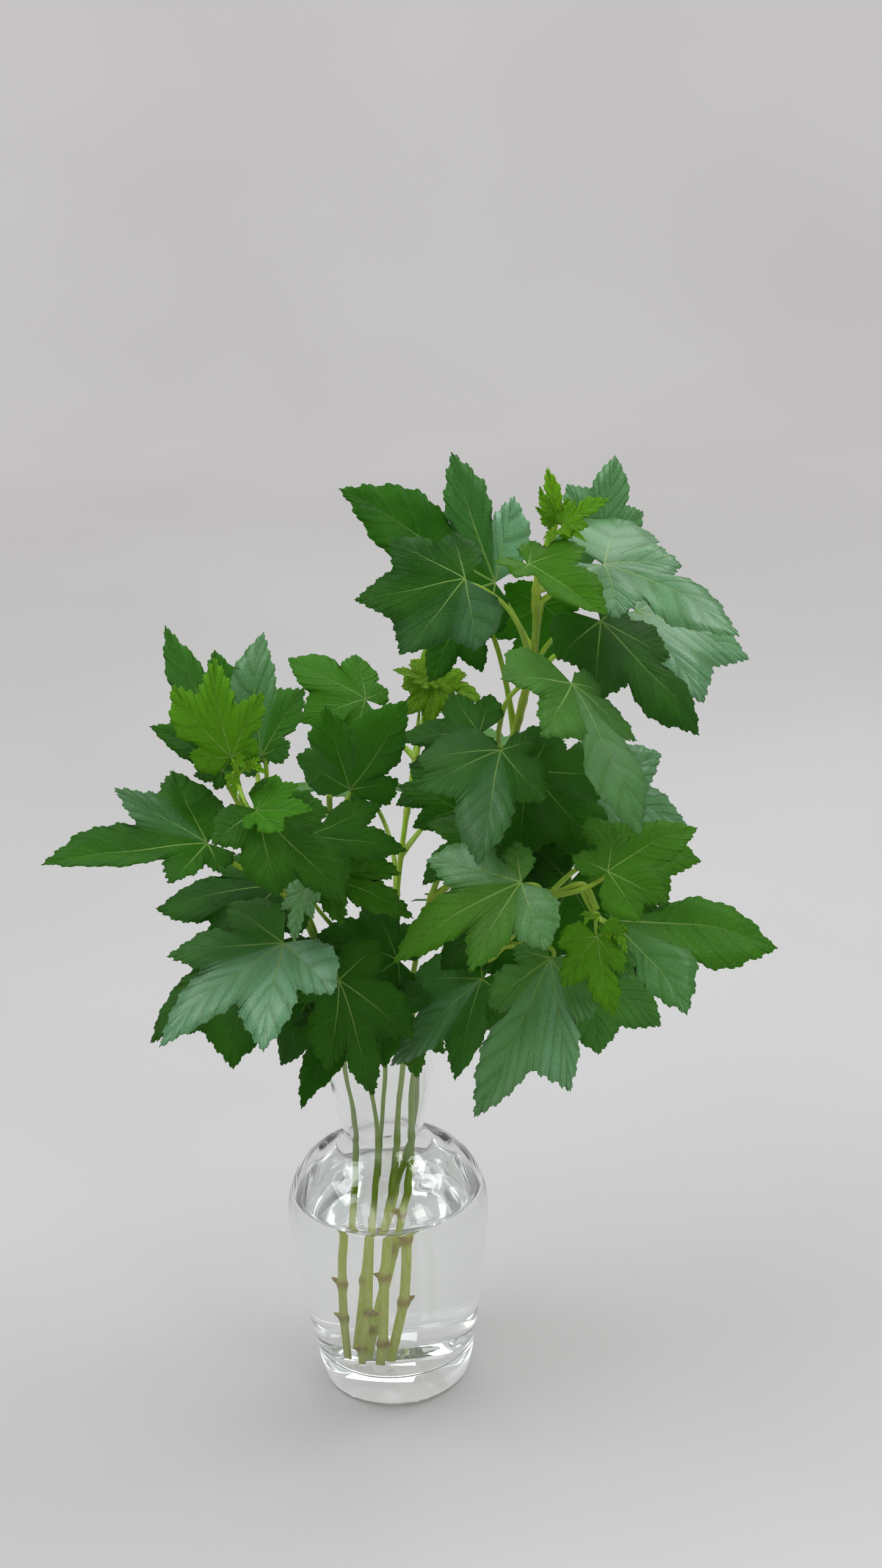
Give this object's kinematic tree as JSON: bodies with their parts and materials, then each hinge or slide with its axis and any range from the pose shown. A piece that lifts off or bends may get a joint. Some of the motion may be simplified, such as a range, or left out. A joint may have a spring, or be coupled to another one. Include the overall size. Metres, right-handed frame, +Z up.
{
  "type": "raspberry leaf sprigs in a vase",
  "caption": "Leafy raspberry stems with palm-lobed, toothed leaves and pale young shoots, standing upright in a clear waisted glass vase half full of water.",
  "frame": {"origin": "centre of the flat foot of the vase, on the surface that it stands on", "axes": "+Z up along the vase; -Y towards the front of the bouquet, +X to its right"},
  "size_m": [0.3587, 0.2914, 0.5341],
  "materials": {
    "glass": "clear colourless glass, polished, thick at the foot",
    "water": "clear still water",
    "leaf": "dark green leaf, satin above and paler below, with a yellow-green stem",
    "shoot": "bright yellow-green young leaf, satin"
  },
  "bodies": {
    "root": {"vase": "glass", "water": "water", "sprig_a": "leaf", "sprig_b": "leaf", "sprig_c": "leaf", "sprig_d": "leaf", "sprig_e": "leaf", "sprig_f": "leaf", "shoot_a": "shoot", "shoot_b": "shoot", "shoot_c": "shoot", "shoot_d": "shoot"}
  },
  "joints": []
}
